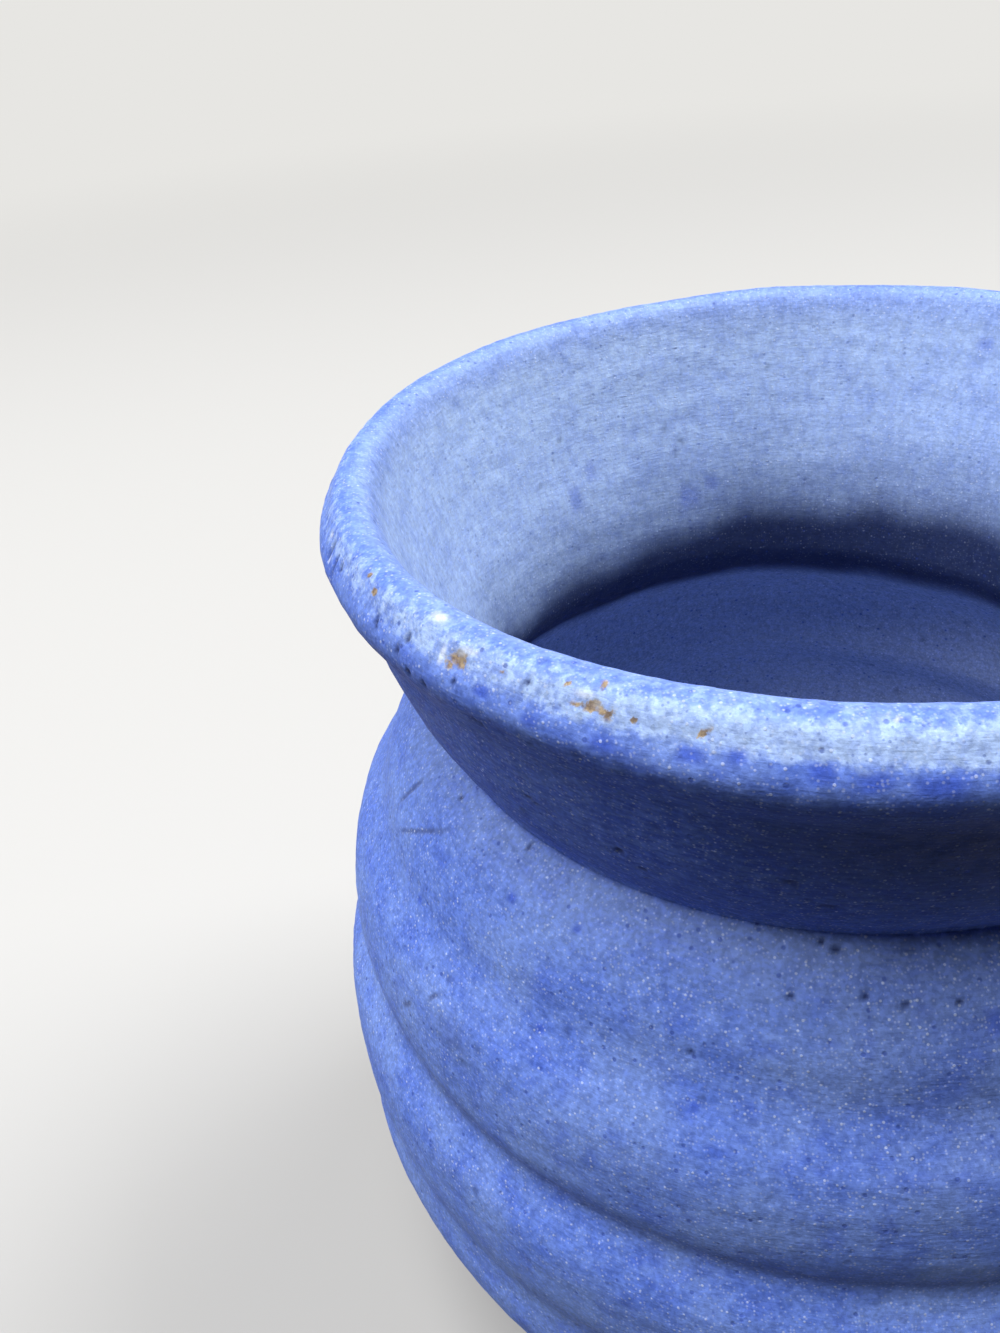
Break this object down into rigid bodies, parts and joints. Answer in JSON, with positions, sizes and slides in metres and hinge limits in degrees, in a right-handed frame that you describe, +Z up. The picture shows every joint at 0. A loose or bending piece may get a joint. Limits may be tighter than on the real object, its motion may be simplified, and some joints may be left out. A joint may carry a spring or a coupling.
{
  "type": "egyptian faience jar",
  "caption": "Small wide-mouthed jar of blue faience with a flared neck, thick rounded lip, ridged round belly and a ring foot.",
  "frame": {"origin": "centre of the foot's resting face, on the jar's axis", "axes": "+Z up along the jar's axis; it is a turned form, so +X and +Y are free. +X is to the right in the picture's view and the front faces -Y"},
  "size_m": [0.0962, 0.0962, 0.103],
  "materials": {
    "quartz_paste": "bare fired quartz paste, sandy ochre and matt",
    "paste_slurry": "fired slurry of the same paste, finer and paler, matt",
    "blue_glaze": "matt cobalt blue alkaline glaze, cloudy, with fine pale crystals and darker specks"
  },
  "bodies": {
    "root": {"neck_and_rim": "quartz_paste", "neck_luting": "paste_slurry", "shoulder": "quartz_paste", "belly_luting": "paste_slurry", "lower_body": "quartz_paste", "foot_luting": "paste_slurry", "foot_ring": "quartz_paste", "outer_glaze": "blue_glaze", "inner_glaze": "blue_glaze"}
  },
  "joints": []
}
